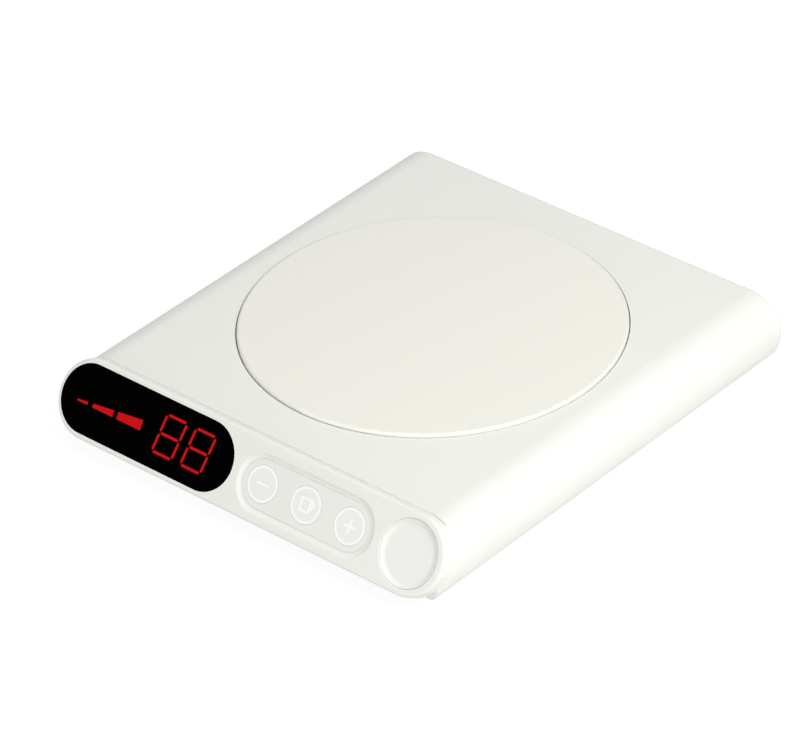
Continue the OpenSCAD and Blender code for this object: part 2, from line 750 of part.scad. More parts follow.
module display_window() {
    color(black) difference() {
        on_line(window_x, window_t) linear_extrude(window_t) pill(window_hl, window_h / 2 - window_gap);
        on_line(0, window_t + e) linear_extrude(window_t + 2 * e) {
            digit_outlines(guide_fit);
            bar_outlines(guide_fit);
        }
    }
}

// Black block that keeps the light of each stroke apart
module light_shade() {
    color(black) difference() {
        on_line(window_x, board_depth) linear_extrude(board_depth - window_t) pill(shade_hl, shade_r);
        on_line(0, board_depth + e) linear_extrude(board_depth) {
            digit_outlines(guide_fit);
            bar_outlines(guide_fit);
        }
    }
}

module display_digits() {
    color(red) on_line(0, guide_len) linear_extrude(guide_len) digit_outlines(0);
}

module level_bars() {
    color(red) on_line(0, guide_len) linear_extrude(guide_len) bar_outlines(0);
}

// Light-emitting chip, standing on the control board
module led(p, upright) {
    on_line(p[0], board_depth) translate([0, p[1], 0]) rotate([0, 0, upright ? 90 : 0])
        translate([-led_w / 2, -stroke / 3, 0]) cube([led_w, 2 * stroke / 3, led_h]);
}

module display_leds() {
    color("khaki") {
        for (side = [-1, 1]) {
            x = digits_x + side * digit_pitch / 2;
            for (row = [-1, 0, 1]) led([x, digits_rise] + lean([0, row * digit_h / 2]), false);
            for (s = [-1, 1], row = [-1, 1])
                led([x, digits_rise] + lean([s * digit_w / 2, row * digit_h / 4]), true);
        }
        for (cut = bar_cuts) {
            t = (cut[0] + cut[1]) / 2;
            on_line(bars_x + t * bars_w, board_depth)
                translate([-led_w / 2, -bars_drop + bar_low / 4, 0]) cube([led_w, bar_low / 2, led_h]);
        }
    }
}

module control_board() {
    color(board_green) difference() {
        on_line(0, board_depth + board_t) linear_extrude(board_t) pill(control_hl, board_h / 2);
        at_posts() translate([0, 0, -board_t - e])
            cylinder(d = small_screw_d + screw_fit, h = board_t + 2 * e);
    }
}

module control_screws() {
    color(steel) at_posts() translate([0, 0, -board_t])
        screw(small_screw_d, small_screw_len, small_head_d, small_head_h);
}

// Thin plate glued into the key recess
module key_insert() {
    color(cream) difference() {
        on_keys(0, insert_depth) linear_extrude(insert_t) pill(recess_hl, recess_r - insert_gap);
        for (i = [-1, 0, 1]) on_keys(i * key_pitch, insert_depth + e)
            cylinder(d = key_d + 2 * key_gap, h = insert_t + 2 * e);
    }
}

// Straight line of a mark between two points, with round ends
module mark_line(a, b, fit) {
    run = b - a;
    translate(a) rotate(atan2(run[1], run[0])) {
        translate([0, -mark_w / 2 - fit]) square([norm(run), mark_w + 2 * fit]);
        circle(d = mark_w + 2 * fit);
        translate([norm(run), 0]) circle(d = mark_w + 2 * fit);
    }
}

// Cup seen from the side: four lines and a handle, upright on the panel's lean
module cup_outline(fit) {
    rim = cup_w / 2;
    foot = rim - cup_taper;
    translate([-cup_left, 0]) {
        mark_line([-rim, cup_h / 2], [rim, cup_h / 2], fit);
        mark_line([-foot, -cup_h / 2], [foot, -cup_h / 2], fit);
        for (side = [-1, 1]) mark_line([side * rim, cup_h / 2], [side * foot, -cup_h / 2], fit);
        translate([rim, cup_h / 8]) difference() {
            circle(r = handle_r + mark_w / 2 + fit);
            circle(r = handle_r - mark_w / 2 - fit);
            translate([-2 * (handle_r + mark_w) - cup_taper / 2, -handle_r - mark_w])
                square(2 * (handle_r + mark_w));
        }
    }
}

// Outline of a key's whole mark: the ring, and a minus (-1), a cup (0) or a plus (1)
module mark_outline(i, fit) {
    difference() {
        circle(d = mark_d + 2 * fit);
        circle(d = mark_d - 2 * mark_w - 2 * fit);
    }
    if (i == 0) cup_outline(fit);
    if (i != 0) mark_line([-(sign_l - mark_w) / 2, 0], [(sign_l - mark_w) / 2, 0], fit);
    if (i == 1) mark_line([0, -(sign_l - mark_w) / 2], [0, (sign_l - mark_w) / 2], fit);
}

// White mark set flush into its key
module key_mark(i) {
    color("white") on_keys(i * key_pitch, recess_depth + mark_t) linear_extrude(mark_t) mark_outline(i, 0);
}

// Key cap with the flange that keeps it in the panel and the stem that meets its plunger
module key_cap(i) {
    color(cream) difference() {
        union() {
            on_keys(i * key_pitch, panel_t) cylinder(d = key_d, h = panel_t - recess_depth);
            on_keys(i * key_pitch, panel_t + key_flange_t) cylinder(r = flange_r, h = key_flange_t);
            on_keys(i * key_pitch, plunger_top) cylinder(d = plunger_d, h = plunger_top - panel_t);
        }
        on_keys(i * key_pitch, recess_depth + mark_t + mark_gap) linear_extrude(mark_t + 1)
            mark_outline(i, mark_gap);
    }
}

// Dished round button, with a hub on its plunger and two hooked legs behind the panel's web
module power_button() {
    color(cream) {
        on_line(power_x, power_back) rotate_extrude() difference() {
            square([power_r, power_t]);
            translate([0, power_t - dish_depth]) soft_section(dish_r, dish_depth, power_lip, cove);
        }
        on_line(power_x, plunger_top) cylinder(d = hub_d, h = plunger_top - power_back);
        for (turn = [0, 180]) on_line(power_x, panel_t + hook_t) rotate([0, 0, turn])
            translate([leg_r, -leg_w / 2, 0]) {
                cube([leg_t, leg_w, panel_t + hook_t - power_back]);
                cube([leg_t + hook, leg_w, hook_t - key_gap]);
            }
    }
}

// Push switch on the control board, with the bore that its plunger runs in
module push_switch(x, drop, w) {
    color("dimgray") difference() {
        on_line(x, board_depth) translate([-w / 2, -drop - w / 2, 0]) cube([w, w, switch_h]);
        on_line(x, switch_top + plunger_in + power_travel + bore_floor) translate([0, -drop, 0])
            cylinder(d = plunger_d + 2 * plunger_gap, h = 2 * switch_h);
    }
}

module plunger(x, drop) {
    color("ivory") on_line(x, switch_top + plunger_in) translate([0, -drop, 0])
        cylinder(d = plunger_d, h = plunger_in + plunger_out);
}

module heating_plate() {
    color(plate_white) translate([0, plate_back, z_plate]) rotate_extrude()
        bar_section(plate_d / 2, plate_t, plate_round);
}

// Flat ring about the plate's axis
module ring(z, h, d_out, d_in) {
    translate([0, plate_back, z]) difference() {
        cylinder(d = d_out, h = h);
        translate([0, 0, -e]) cylinder(d = d_in, h = h + 2 * e);
    }
}

module plate_seal() {
    color([0.8, 0.8, 0.78]) ring(z_seat, seal_t, plate_d - 1, seat_in_d + 1);
}

module heat_spreader() {
    color(steel) translate([0, plate_back, z_spreader]) cylinder(d = stack_d, h = spreader_t);
}

// Hole for the temperature sensor and holes for the two leads, through the stack
module stack_holes() {
    translate([0, plate_back, 0]) cylinder(d = sensor_d + 2 * sensor_gap, h = z_spreader);
    for (x = [-lead_x, lead_x]) translate([x, lead_y, 0]) cylinder(d = lead_d + 2 * lead_gap, h = z_heater);
}

// Film heater: round resistance tracks on a carrier
module heating_element() {
    color("darkorange") difference() {
        union() {
            translate([0, plate_back, z_heater]) cylinder(d = heater_d, h = heater_t);
            for (r = [track_pitch * 2:track_pitch:heater_d / 2 - track_w])
                ring(z_heater + heater_t / 2, heater_t / 2 + track_t, 2 * r + track_w, 2 * r - track_w);
        }
        stack_holes();
    }
}

module insulation_pad() {
    color("wheat") difference() {
        translate([0, plate_back, z_pad]) cylinder(d = stack_d, h = pad_t);
        stack_holes();
    }
}

// Pressed plate that holds the stack up against the heating plate
module clamp_plate() {
    color(steel) difference() {
        union() {
            translate([0, plate_back, z_clamp]) cylinder(d = stack_d, h = clamp_t);
            for (a = [45:90:315]) translate([0, plate_back, z_clamp]) rotate([0, 0, a]) {
                translate([stack_d / 2 - ear_w, -ear_w / 2, 0])
                    cube([clamp_r - stack_d / 2 + ear_w, ear_w, clamp_t]);
                translate([clamp_r, 0, 0]) cylinder(d = ear_w, h = clamp_t);
            }
        }
        stack_holes();
        at_clamp_screws() cylinder(d = small_screw_d + screw_fit, h = z_top);
    }
}

module clamp_screws() {
    color(steel) at_clamp_screws() translate([0, 0, z_clamp])
        screw(small_screw_d, small_screw_len, small_head_d, small_head_h);
}

module temperature_sensor() {
    color("dimgray") translate([0, plate_back, z_clamp - clamp_t])
        cylinder(d = sensor_d, h = z_spreader - z_clamp + clamp_t);
}

// Thermal fuse lying under the clamp plate, with its two bare leads
module thermal_fuse() {
    color(steel) translate([fuse_x, plate_back, z_fuse]) rotate([90, 0, 0]) {
        cylinder(d = fuse_d, h = fuse_l, center = true);
        cylinder(d = fuse_d / 5, h = fuse_l + fuse_d * 2, center = true);
    }
}

// Spring clip that presses the fuse against the clamp plate
module fuse_clip() {
    color("goldenrod") translate([fuse_x, plate_back + ear_w / 2, 0]) rotate([90, 0, 0]) linear_extrude(ear_w)
        difference() {
            union() {
                translate([0, z_fuse]) circle(d = fuse_d + 2 * clip_t);
                translate([-fuse_d / 2 - clip_t, z_fuse]) square([fuse_d + 2 * clip_t, fuse_d / 2]);
                translate([-fuse_d, z_clamp - clip_t]) square([2 * fuse_d, clip_t]);
            }
            translate([0, z_fuse]) circle(d = fuse_d);
            translate([-fuse_d / 2, z_fuse]) square([fuse_d, fuse_d]);
            translate([-fuse_d, z_clamp]) square([2 * fuse_d, fuse_d]);
        }
}

module heater_leads() {
    color("white") for (x = [-lead_x, lead_x]) translate([x, lead_y, z_main_top])
        cylinder(d = lead_d, h = z_heater - z_main_top);
}

module main_board() {
    color(board_green) difference() {
        translate([0, 0, z_main]) linear_extrude(board_t)
            round_rect(-main_w / 2, main_y0, main_w, main_d, board_t);
        at_board_screws() translate([0, 0, z_main - e])
            cylinder(d = small_screw_d + screw_fit, h = board_t + 2 * e);
    }
}

module board_screws() {
    color(steel) at_board_screws() translate([0, 0, z_main_top]) mirror([0, 0, 1])
        screw(small_screw_d, small_screw_len - 1, small_head_d, small_head_h);
}

// Drum coil: a wound waist between two flanges
module power_coil() {
    flange = coil_h / 5;
    color("dimgray") translate([coil_x, main_y0 + main_d / 2, z_main_top]) {
        cylinder(d = coil_d, h = flange);
        cylinder(d = coil_d - 2 * flange, h = coil_h);
        translate([0, 0, coil_h - flange]) cylinder(d = coil_d, h = flange);
    }
}

module smoothing_capacitors() {
    color("silver") for (x = [cap_x, cap_x + cap_d + cap_gap])
        translate([x, main_y0 + main_d / 2 + cap_d / 2, z_main_top])
            rotate_extrude() bar_section(cap_d / 2, cap_h, cap_round);
}

module power_chip() {
    color(black) translate([-chip_w / 2, main_y0 + (main_d - chip_w) / 2, z_main_top])
        cube([chip_w, chip_w, chip_h]);
}

// Metal shell of the power inlet, open at the back wall
module inlet_shell() {
    hl = (inlet_w - inlet_h) / 2;
    color(steel) difference() {
        translate([0, inlet_y1, z_inlet]) rotate([90, 0, 0]) linear_extrude(inlet_l) pill(hl, inlet_h / 2);
        translate([0, inlet_y1 + e, z_inlet]) rotate([90, 0, 0]) linear_extrude(inlet_l - inlet_t + e)
            pill(hl, inlet_h / 2 - inlet_t);
    }
}

// Contact tongue in the middle of the inlet
module inlet_tongue() {
    color(black) translate([-tongue_w / 2, inlet_y1 - inlet_l + inlet_t, z_inlet - tongue_h / 2])
        cube([tongue_w, inlet_l - inlet_t - tongue_in, tongue_h]);
}

// Socket of the ribbon on the main board, and the one on the control board's back
module ribbon_sockets() {
    w = ribbon_w + 2 * socket_side;
    color("ivory") {
        difference() {
            translate([ribbon_x - w / 2, main_y0 + socket_in, z_main_top]) cube([w, socket_l, socket_h]);
            translate([ribbon_x - ribbon_w / 2, main_y0 + socket_in - e, z_main_top + socket_h / 2])
                cube([ribbon_w, socket_l / 2 + e, ribbon_t]);
        }
        difference() {
            on_line(ribbon_x, board_depth + board_t + socket_h)
                translate([-w / 2, socket_up - board_h / 2, 0]) cube([w, socket_l, socket_h]);
            on_line(ribbon_x, board_depth + board_t + socket_h / 2 + ribbon_t)
                translate([-ribbon_w / 2, socket_up - board_h / 2 - e, 0])
                    cube([ribbon_w, socket_l / 2 + e, ribbon_t]);
        }
    }
}

// Unit vector along the run that starts at point i
function run_way(points, i) = let (run = points[i + 1] - points[i]) run / norm(run);

// Corner of a band at point i, on one side of its middle line
function band_corner(points, i, side) =
    let (a = run_way(points, max(i - 1, 0)), b = run_way(points, min(i, len(points) - 2)),
        mid = [-a[1] - b[1], a[0] + b[0]], n = mid / norm(mid))
    points[i] + side * ribbon_t / 2 / (n * [-a[1], a[0]]) * n;

// Side view of the point that lies s up the panel's face and at a depth behind it
function face_point(s, depth) = [y_face + s * up_s + depth * up_c, z_face + s * up_c - depth * up_s];

// Flat band along a line of points in the plane, with mitred corners
module band(points) {
    last = len(points) - 1;
    polygon(concat([for (i = [0:last]) band_corner(points, i, 1)],
        [for (i = [last:-1:0]) band_corner(points, i, -1)]));
}

// Flat ribbon from the control board, over the base cover, to the main board
module ribbon_cable() {
    socket_s = mid_s - board_h / 2 + socket_up;
    depth = board_depth + board_t + socket_h / 2 + ribbon_t / 2;
    z_run = z_base + ribbon_t;
    y_in = base_y0 + base_seat + bend_l;
    y_rise = main_y0 - bend_l;
    z_in = z_main_top + socket_h / 2 + ribbon_t / 2;
    color("silver") translate([ribbon_x - ribbon_w / 2 + ribbon_gap, 0, 0]) rotate([90, 0, 90])
        linear_extrude(ribbon_w - 2 * ribbon_gap) band([
            face_point(socket_s + socket_l / 3, depth), face_point(socket_s - bend_l * 0.6, depth),
            [y_in, z_floor + 1.5 * ribbon_t], [y_in + bend_l, z_run],
            [y_rise - bend_l / 2, z_run], [y_rise, z_in - bend_l / 2],
            [y_rise + bend_l / 2, z_in], [main_y0 + socket_in + socket_l / 3, z_in]]);
}

top_cover();
base_cover();
housing_screws();
foot(-foot_x, foot_y0);  // foot_front_left
foot(foot_x, foot_y0);  // foot_front_right
foot(-foot_x, foot_y1);  // foot_back_left
foot(foot_x, foot_y1);  // foot_back_right
front_bezel();
display_window();
light_shade();
display_digits();
level_bars();
display_leds();
control_board();
control_screws();
key_insert();
key_cap(-1);  // minus_button
key_cap(0);  // cup_button
key_cap(1);  // plus_button
power_button();
key_mark(-1);  // minus_mark
key_mark(0);  // cup_mark
key_mark(1);  // plus_mark
push_switch(keys_x - key_pitch, keys_drop, switch_w);  // minus_switch
push_switch(keys_x, keys_drop, switch_w);  // cup_switch
push_switch(keys_x + key_pitch, keys_drop, switch_w);  // plus_switch
push_switch(power_x, 0, power_switch_w);  // power_switch
plunger(keys_x - key_pitch, keys_drop);  // minus_plunger
plunger(keys_x, keys_drop);  // cup_plunger
plunger(keys_x + key_pitch, keys_drop);  // plus_plunger
plunger(power_x, 0);  // power_plunger
heating_plate();
plate_seal();
heat_spreader();
heating_element();
insulation_pad();
clamp_plate();
clamp_screws();
temperature_sensor();
thermal_fuse();
fuse_clip();
heater_leads();
main_board();
board_screws();
power_coil();
smoothing_capacitors();
power_chip();
inlet_shell();
inlet_tongue();
ribbon_cable();
ribbon_sockets();
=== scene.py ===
import math

import bpy
from mathutils import Matrix, Vector

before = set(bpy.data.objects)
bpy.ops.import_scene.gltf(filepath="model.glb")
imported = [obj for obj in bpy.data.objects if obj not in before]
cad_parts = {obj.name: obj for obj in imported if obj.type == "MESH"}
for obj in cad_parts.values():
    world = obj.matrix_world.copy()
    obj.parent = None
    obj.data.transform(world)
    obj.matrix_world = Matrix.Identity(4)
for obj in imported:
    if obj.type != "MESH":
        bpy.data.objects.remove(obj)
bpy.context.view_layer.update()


# ---- Top cover -------------------------------------------------------------------------------
# One off-white moulded shell with full-round sides and a flat top, open for the heating plate and
# cut back at a slant for the front panel. Its face is satin, from a fine spark-eroded mould.

MM = 0.001


def surface(finish, name):
    """One of the surface's own values, such as its colour or roughness."""
    return finish.node_tree.nodes["Principled BSDF"].inputs[name]


def new_finish(name, roughness, metallic=0.0, specular=0.5):
    """An empty finish, with the shader's plain values set on its own sockets."""
    finish = bpy.data.materials.new(name)
    finish.use_nodes = True
    surface(finish, "Roughness").default_value = roughness
    surface(finish, "Metallic").default_value = metallic
    surface(finish, "Specular IOR Level").default_value = specular
    return finish


def fixed_to_piece(finish):
    """The place on the piece, in metres, so that a pattern stays put when the piece moves."""
    return finish.node_tree.nodes.new("ShaderNodeTexCoord").outputs["Object"]


def speckle(finish, size_mm, detail=3.0, stretch=(1, 1, 1)):
    """Noise of a real size, fixed to the piece. Stretch draws it out, as brushing or drawing does."""
    nodes, links = finish.node_tree.nodes, finish.node_tree.links
    spread = nodes.new("ShaderNodeMapping")
    spread.inputs["Scale"].default_value = stretch
    noise = nodes.new("ShaderNodeTexNoise")
    noise.inputs["Scale"].default_value = 1 / (size_mm * MM)
    noise.inputs["Detail"].default_value = detail
    links.new(fixed_to_piece(finish), spread.inputs["Vector"])
    links.new(spread.outputs["Vector"], noise.inputs["Vector"])
    return noise.outputs["Fac"]


def two_tone(finish, pattern, colour, other, where="Base Color"):
    """Paints the finish, or lights it, in two near colours, blended by a pattern."""
    nodes, links = finish.node_tree.nodes, finish.node_tree.links
    blend = nodes.new("ShaderNodeMix")
    blend.data_type = "RGBA"
    factor, first, second = blend.inputs[0], blend.inputs[6], blend.inputs[7]
    first.default_value = (*colour, 1)
    second.default_value = (*other, 1)
    links.new(pattern, factor)
    links.new(blend.outputs[2], surface(finish, where))


def relief(finish, pattern, depth_mm, strength=0.5):
    """Raises and sinks the face by a pattern."""
    nodes, links = finish.node_tree.nodes, finish.node_tree.links
    bump = nodes.new("ShaderNodeBump")
    bump.inputs["Distance"].default_value = depth_mm * MM
    bump.inputs["Strength"].default_value = strength
    links.new(pattern, bump.inputs["Height"])
    links.new(bump.outputs["Normal"], surface(finish, "Normal"))


def uneven_gloss(finish, pattern, smooth, dull):
    """Lets the roughness wander between two values."""
    nodes, links = finish.node_tree.nodes, finish.node_tree.links
    span = nodes.new("ShaderNodeMapRange")
    span.inputs["To Min"].default_value = smooth
    span.inputs["To Max"].default_value = dull
    links.new(pattern, span.inputs["Value"])
    links.new(span.outputs["Result"], surface(finish, "Roughness"))


def dress(finish, *pieces):
    """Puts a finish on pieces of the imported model."""
    for piece in pieces:
        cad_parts[piece].material_slots[0].material = finish


def moulded_plastic(name, colour, other, grain_mm, depth_mm, smooth, dull):
    """Satin moulded plastic: faintly cloudy colour, and the mould's fine grain."""
    cloud_mm, sheen_mm = 9, 2.5
    finish = new_finish(name, dull, specular=0.4)
    two_tone(finish, speckle(finish, cloud_mm), colour, other)
    uneven_gloss(finish, speckle(finish, sheen_mm), smooth, dull)
    relief(finish, speckle(finish, grain_mm, 2), depth_mm, 0.35)
    return finish


housing_plastic = moulded_plastic("housing_satin", (0.83, 0.825, 0.785), (0.845, 0.84, 0.8),
                                  grain_mm=0.35, depth_mm=0.012, smooth=0.42, dull=0.52)
dress(housing_plastic, "top_cover")

# ---- Base cover ------------------------------------------------------------------------------
# A flat moulded lid let into the underside, with vent slots under the warm middle and seats for
# the feet and screws. It is the housing's plastic with a coarser grain, since nobody sees it.

base_plastic = moulded_plastic("base_grain", (0.81, 0.805, 0.765), (0.83, 0.825, 0.785),
                               grain_mm=0.8, depth_mm=0.04, smooth=0.5, dull=0.62)
dress(base_plastic, "base_cover")

# ---- Screws ----------------------------------------------------------------------------------
# Zinc-plated steel screws with rolled threads and cross recesses: four through the base cover,
# and smaller ones that hold the boards and the clamp plate.

zinc_plate = new_finish("screw_zinc", 0.35, metallic=1.0)
two_tone(zinc_plate, speckle(zinc_plate, 0.6), (0.52, 0.53, 0.56), (0.66, 0.66, 0.67))
uneven_gloss(zinc_plate, speckle(zinc_plate, 0.25), 0.28, 0.46)
relief(zinc_plate, speckle(zinc_plate, 0.15, stretch=(1, 1, 4)), 0.01)
dress(zinc_plate, "housing_screws", "control_screws", "clamp_screws", "board_screws")

# ---- Feet ------------------------------------------------------------------------------------
# Four round feet of dark moulded rubber with a rounded lower edge, glued into shallow seats in
# the base cover. Handling leaves the rubber slightly patchy.

foot_rubber = new_finish("foot_rubber", 0.8, specular=0.3)
two_tone(foot_rubber, speckle(foot_rubber, 1.6), (0.035, 0.035, 0.036), (0.06, 0.06, 0.058))
uneven_gloss(foot_rubber, speckle(foot_rubber, 0.7), 0.66, 0.88)
relief(foot_rubber, speckle(foot_rubber, 0.3), 0.03)
dress(foot_rubber, "foot_front_left", "foot_front_right", "foot_back_left", "foot_back_right")

# ---- Heating plate ---------------------------------------------------------------------------
# A round pressed plate with a rolled edge, let into the top with a hairline gap. Its heat-proof
# coat is a touch yellower than the housing and has a fine sprayed grain.

plate_coat = new_finish("plate_coat", 0.5, specular=0.45)
two_tone(plate_coat, speckle(plate_coat, 0.7, 4), (0.83, 0.825, 0.755), (0.865, 0.86, 0.79))
uneven_gloss(plate_coat, speckle(plate_coat, 0.5), 0.4, 0.55)
relief(plate_coat, speckle(plate_coat, 0.45, 4), 0.02, 0.4)
dress(plate_coat, "heating_plate")

# ---- Seal and heat spreader ------------------------------------------------------------------
# A flat silicone ring carries the plate on the housing's ledge. A rolled aluminium disc under the
# plate spreads the heat of the element.

seal_silicone = new_finish("seal_silicone", 0.6, specular=0.35)
two_tone(seal_silicone, speckle(seal_silicone, 2.2), (0.52, 0.52, 0.5), (0.6, 0.6, 0.57))
relief(seal_silicone, speckle(seal_silicone, 0.4), 0.02)
dress(seal_silicone, "plate_seal")

rolled_aluminium = new_finish("spreader_aluminium", 0.35, metallic=1.0)
rolling = (8, 0.4, 1)
two_tone(rolled_aluminium, speckle(rolled_aluminium, 1.5, stretch=rolling),
         (0.74, 0.74, 0.75), (0.84, 0.84, 0.85))
relief(rolled_aluminium, speckle(rolled_aluminium, 0.5, stretch=rolling), 0.01)
dress(rolled_aluminium, "heat_spreader")

# ---- Heating element, insulation pad and clamp plate -----------------------------------------
# Etched tracks on an amber film make the heat. A felted pad keeps it out of the housing, and a
# pressed steel plate on four screws holds the stack up against the heating plate.

amber_film = new_finish("heater_film", 0.28, specular=0.5)
two_tone(amber_film, speckle(amber_film, 4), (0.5, 0.2, 0.035), (0.62, 0.28, 0.05))
relief(amber_film, speckle(amber_film, 0.8), 0.015)
dress(amber_film, "heating_element")

felted_fibre = new_finish("insulation_felt", 0.95, specular=0.1)
felting = (1, 5, 3)
two_tone(felted_fibre, speckle(felted_fibre, 0.5, 6, felting), (0.55, 0.47, 0.33), (0.74, 0.67, 0.52))
relief(felted_fibre, speckle(felted_fibre, 0.4, 6, felting), 0.12, 0.8)
dress(felted_fibre, "insulation_pad")

pressed_steel = new_finish("clamp_steel", 0.4, metallic=1.0)
two_tone(pressed_steel, speckle(pressed_steel, 3, 4), (0.5, 0.51, 0.52), (0.62, 0.62, 0.62))
uneven_gloss(pressed_steel, speckle(pressed_steel, 1.2), 0.3, 0.5)
relief(pressed_steel, speckle(pressed_steel, 0.3, stretch=(6, 1, 1)), 0.01)
dress(pressed_steel, "clamp_plate")

# ---- Sensor, thermal fuse and leads ----------------------------------------------------------
# An epoxy-coated sensor reads the plate's heat through the stack. A drawn fuse case lies under a
# brass spring clip, and two silicone-sleeved leads feed the element.

sensor_epoxy = new_finish("sensor_epoxy", 0.3, specular=0.5)
two_tone(sensor_epoxy, speckle(sensor_epoxy, 0.9), (0.02, 0.02, 0.022), (0.045, 0.04, 0.04))
relief(sensor_epoxy, speckle(sensor_epoxy, 0.5), 0.02)
dress(sensor_epoxy, "temperature_sensor")

fuse_case = new_finish("fuse_case", 0.32, metallic=1.0)
two_tone(fuse_case, speckle(fuse_case, 0.8, stretch=(1, 0.2, 1)), (0.62, 0.62, 0.62), (0.75, 0.74, 0.72))
relief(fuse_case, speckle(fuse_case, 0.2, stretch=(1, 0.1, 1)), 0.008)
dress(fuse_case, "thermal_fuse")

spring_brass = new_finish("clip_brass", 0.34, metallic=1.0)
two_tone(spring_brass, speckle(spring_brass, 1.2), (0.6, 0.4, 0.15), (0.72, 0.52, 0.24))
relief(spring_brass, speckle(spring_brass, 0.25, stretch=(1, 6, 1)), 0.01)
dress(spring_brass, "fuse_clip")

lead_silicone = new_finish("lead_sleeve", 0.6, specular=0.3)
two_tone(lead_silicone, speckle(lead_silicone, 1.8), (0.78, 0.77, 0.74), (0.86, 0.85, 0.82))
relief(lead_silicone, speckle(lead_silicone, 0.3, stretch=(1, 1, 0.2)), 0.012)
dress(lead_silicone, "heater_leads")

# ---- Front panel -----------------------------------------------------------------------------
# A long pill-shaped moulding with a softly rounded rim, plugged into the housing's slanted cut. It
# stands a little above the top. Its mould is smoother than the housing's.

panel_plastic = moulded_plastic("panel_satin", (0.84, 0.835, 0.79), (0.855, 0.85, 0.81),
                                grain_mm=0.3, depth_mm=0.006, smooth=0.38, dull=0.46)
dress(panel_plastic, "front_bezel")

# ---- Display ---------------------------------------------------------------------------------
# A polished black window lies flush in the panel. Two seven-stroke digits and three growing level
# bars shine through it from red light guides, kept apart by a black shade behind.

window_black = new_finish("window_black", 0.1, specular=0.004)
two_tone(window_black, speckle(window_black, 6), (0.0004, 0.0002, 0.0004), (0.0008, 0.0004, 0.0008))
relief(window_black, speckle(window_black, 5, 1), 0.002, 0.2)
dress(window_black, "display_window")

glow_strength = 0.46
lit_red = new_finish("stroke_lit_red", 0.35, specular=0.03)
two_tone(lit_red, speckle(lit_red, 1.1), (0.2, 0.002, 0.003), (0.26, 0.003, 0.004))
two_tone(lit_red, speckle(lit_red, 0.9, 2), (0.66, 0.004, 0.005), (0.78, 0.008, 0.007),
         where="Emission Color")
surface(lit_red, "Emission Strength").default_value = glow_strength
dress(lit_red, "display_digits", "level_bars")

shade_black = new_finish("shade_black", 0.7, specular=0.2)
two_tone(shade_black, speckle(shade_black, 1.5), (0.012, 0.012, 0.012), (0.02, 0.02, 0.021))
relief(shade_black, speckle(shade_black, 0.4), 0.02)
dress(shade_black, "light_shade")

chip_resin = new_finish("chip_resin", 0.2, specular=0.5)
two_tone(chip_resin, speckle(chip_resin, 0.3), (0.62, 0.52, 0.12), (0.75, 0.66, 0.25))
relief(chip_resin, speckle(chip_resin, 0.2), 0.01)
dress(chip_resin, "display_leds")

# ---- Keys ------------------------------------------------------------------------------------
# Three round caps stand in a thin insert on the floor of the panel's recess. Caps and insert are a
# shade greyer than the panel, and each cap has a white ring and sign set flush into it.

key_plastic = moulded_plastic("key_satin", (0.85, 0.848, 0.818), (0.862, 0.86, 0.83),
                              grain_mm=0.3, depth_mm=0.006, smooth=0.4, dull=0.48)
dress(key_plastic, "minus_button", "cup_button", "plus_button")

insert_plastic = moulded_plastic("insert_satin", (0.83, 0.827, 0.79), (0.84, 0.837, 0.8),
                                 grain_mm=0.3, depth_mm=0.006, smooth=0.4, dull=0.48)
dress(insert_plastic, "key_insert")

mark_white = moulded_plastic("mark_white", (0.97, 0.97, 0.95), (0.985, 0.985, 0.97),
                             grain_mm=0.3, depth_mm=0.004, smooth=0.35, dull=0.42)
dress(mark_white, "minus_mark", "cup_mark", "plus_mark")

# ---- Power button ----------------------------------------------------------------------------
# A plain round button with a shallow dish, sunk in its own recess at the right end. Two hooked
# legs behind it snap through the panel. It is moulded in the panel's plastic.

power_plastic = moulded_plastic("power_satin", (0.845, 0.84, 0.805), (0.86, 0.855, 0.82),
                                grain_mm=0.3, depth_mm=0.006, smooth=0.38, dull=0.46)
dress(power_plastic, "power_button")

# ---- Push switches ---------------------------------------------------------------------------
# Four small switches stand on the control board, each with a pale plunger that the button above
# it presses. Their bodies are black moulded plastic.

switch_black = new_finish("switch_black", 0.5, specular=0.4)
two_tone(switch_black, speckle(switch_black, 1), (0.015, 0.015, 0.016), (0.03, 0.03, 0.03))
relief(switch_black, speckle(switch_black, 0.25), 0.02)
dress(switch_black, "minus_switch", "cup_switch", "plus_switch", "power_switch")

plunger_ivory = new_finish("plunger_ivory", 0.45, specular=0.4)
two_tone(plunger_ivory, speckle(plunger_ivory, 0.8), (0.72, 0.69, 0.58), (0.8, 0.77, 0.67))
relief(plunger_ivory, speckle(plunger_ivory, 0.2), 0.01)
dress(plunger_ivory, "minus_plunger", "cup_plunger", "plus_plunger", "power_plunger")

# ---- Circuit boards --------------------------------------------------------------------------
# Two green lacquered boards: one slanted behind the panel, one flat at the back. Copper tracks
# show through the lacquer as raised, lighter lines between darker ground.

track_cells = 380  # to the metre, so a cell is about 2.6 mm across
track_core, track_side = 0.05, 0.09
board_lacquer = new_finish("board_lacquer", 0.3, specular=0.5)
board_nodes, board_links = board_lacquer.node_tree.nodes, board_lacquer.node_tree.links
tracks = board_nodes.new("ShaderNodeTexVoronoi")
tracks.distance = "MANHATTAN"
tracks.feature = "DISTANCE_TO_EDGE"
tracks.inputs["Scale"].default_value = track_cells
track_edge = board_nodes.new("ShaderNodeMapRange")
track_edge.inputs["From Min"].default_value = track_core
track_edge.inputs["From Max"].default_value = track_side
board_links.new(fixed_to_piece(board_lacquer), tracks.inputs["Vector"])
board_links.new(tracks.outputs["Distance"], track_edge.inputs["Value"])
two_tone(board_lacquer, track_edge.outputs["Result"], (0.03, 0.17, 0.07), (0.012, 0.085, 0.035))
relief(board_lacquer, track_edge.outputs["Result"], -0.03, 0.4)
dress(board_lacquer, "control_board", "main_board")

